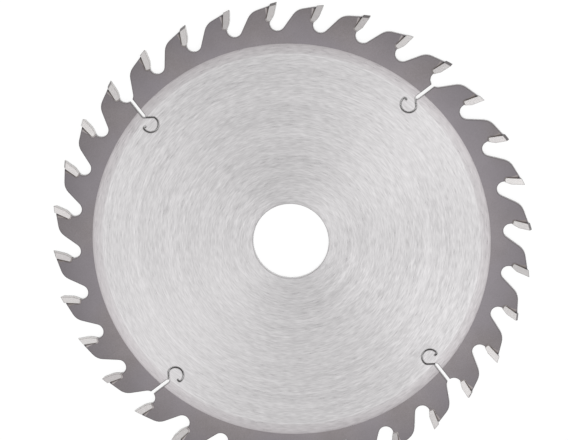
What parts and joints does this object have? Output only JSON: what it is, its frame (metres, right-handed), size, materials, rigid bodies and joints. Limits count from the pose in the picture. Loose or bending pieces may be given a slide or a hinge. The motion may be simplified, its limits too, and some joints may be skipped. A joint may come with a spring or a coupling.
{
  "type": "circular saw blade",
  "caption": "Thin round saw blade for wood: a flat steel plate with a central bore, deep gullets, curled expansion slots and brazed carbide tips bevelled by turns to either side.",
  "frame": {"origin": "centre of the bore, half way through the plate", "axes": "+Z along the blade's axis; the point of tooth 1 is on +Y; seen from +Z the teeth point clockwise"},
  "size_m": [0.19, 0.19, 0.0028],
  "materials": {
    "plate_steel": "ground in fine rings, with a matte blasted rim",
    "carbide": "ground cemented carbide, satin"
  },
  "bodies": {
    "root": {"blade_plate": "plate_steel", "tip_01": "carbide", "tip_02": "carbide", "tip_03": "carbide", "tip_04": "carbide", "tip_05": "carbide", "tip_06": "carbide", "tip_07": "carbide", "tip_08": "carbide", "tip_09": "carbide", "tip_10": "carbide", "tip_11": "carbide", "tip_12": "carbide", "tip_13": "carbide", "tip_14": "carbide", "tip_15": "carbide", "tip_16": "carbide", "tip_17": "carbide", "tip_18": "carbide", "tip_19": "carbide", "tip_20": "carbide", "tip_21": "carbide", "tip_22": "carbide", "tip_23": "carbide", "tip_24": "carbide", "tip_25": "carbide", "tip_26": "carbide", "tip_27": "carbide", "tip_28": "carbide", "tip_29": "carbide", "tip_30": "carbide", "tip_31": "carbide", "tip_32": "carbide"}
  },
  "joints": []
}
